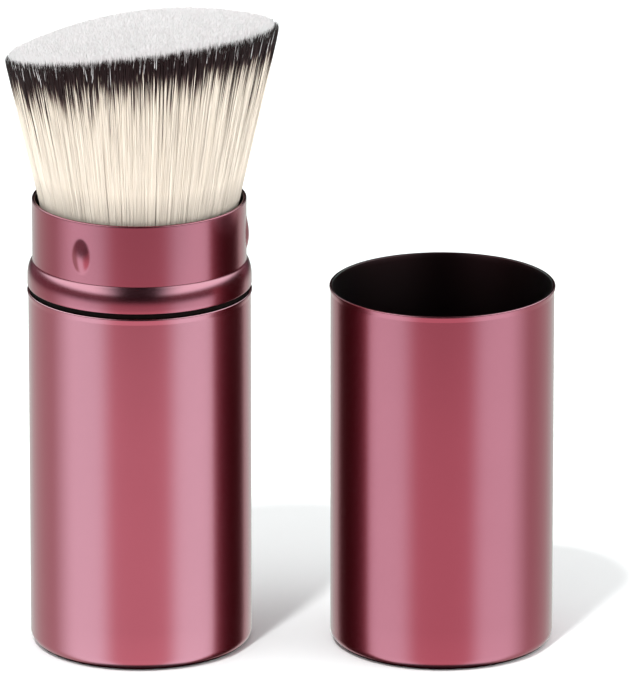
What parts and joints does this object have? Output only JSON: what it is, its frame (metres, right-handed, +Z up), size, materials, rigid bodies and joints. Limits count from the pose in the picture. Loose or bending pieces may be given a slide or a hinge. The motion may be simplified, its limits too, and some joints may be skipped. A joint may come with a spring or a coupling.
{
  "type": "retractable makeup brush",
  "caption": "Cylindrical makeup brush whose flared, slant-cut tuft stands in a sliding sleeve with a bead and oval bumps, with its cup-shaped cap taken off beside it.",
  "frame": {"origin": "centre of the base's underside, on the brush's axis", "axes": "+Z up along the brush's axis to the tuft; the front of the brush faces -Y; the cap stands on +X"},
  "size_m": [0.0833, 0.0411, 0.1013],
  "materials": {
    "anodised_aluminium": "satin wine-pink anodised",
    "bare_aluminium": "plain drawn",
    "steel": "zinc-plated",
    "black_plastic": "moulded",
    "grey_plastic": "moulded",
    "ring_rubber": "matt",
    "adhesive_tape": "foam",
    "glue": "set resin",
    "thread": "wound",
    "hair": "synthetic fibre, cream with a dark band and white tips"
  },
  "bodies": {
    "base": {"base_shell": "anodised_aluminium", "base_liner": "black_plastic", "base_tape": "adhesive_tape", "brush_stem": "grey_plastic", "ferrule": "bare_aluminium", "ferrule_screw": "steel", "ferrule_washer": "steel", "glue_plug": "glue", "root_thread": "thread", "bristles_core": "hair", "bristles_right": "hair", "bristles_left": "hair", "bristles_front": "hair"},
    "sleeve": {"neck_sleeve": "anodised_aluminium", "slide_bush": "black_plastic", "friction_ring": "ring_rubber"},
    "cap": {"cap_shell": "anodised_aluminium"}
  },
  "joints": [
    {"name": "sleeve_slide", "type": "slide", "parent": "base", "child": "sleeve", "axis": [0, 0, 1], "range_m": [0, 0.03], "deforming": ["bristles_front", "bristles_right", "bristles_left"]},
    {"name": "cap_lift", "type": "slide", "parent": "base", "child": "cap", "axis": [0, 0, 1], "range_m": [0, 0.11]}
  ]
}
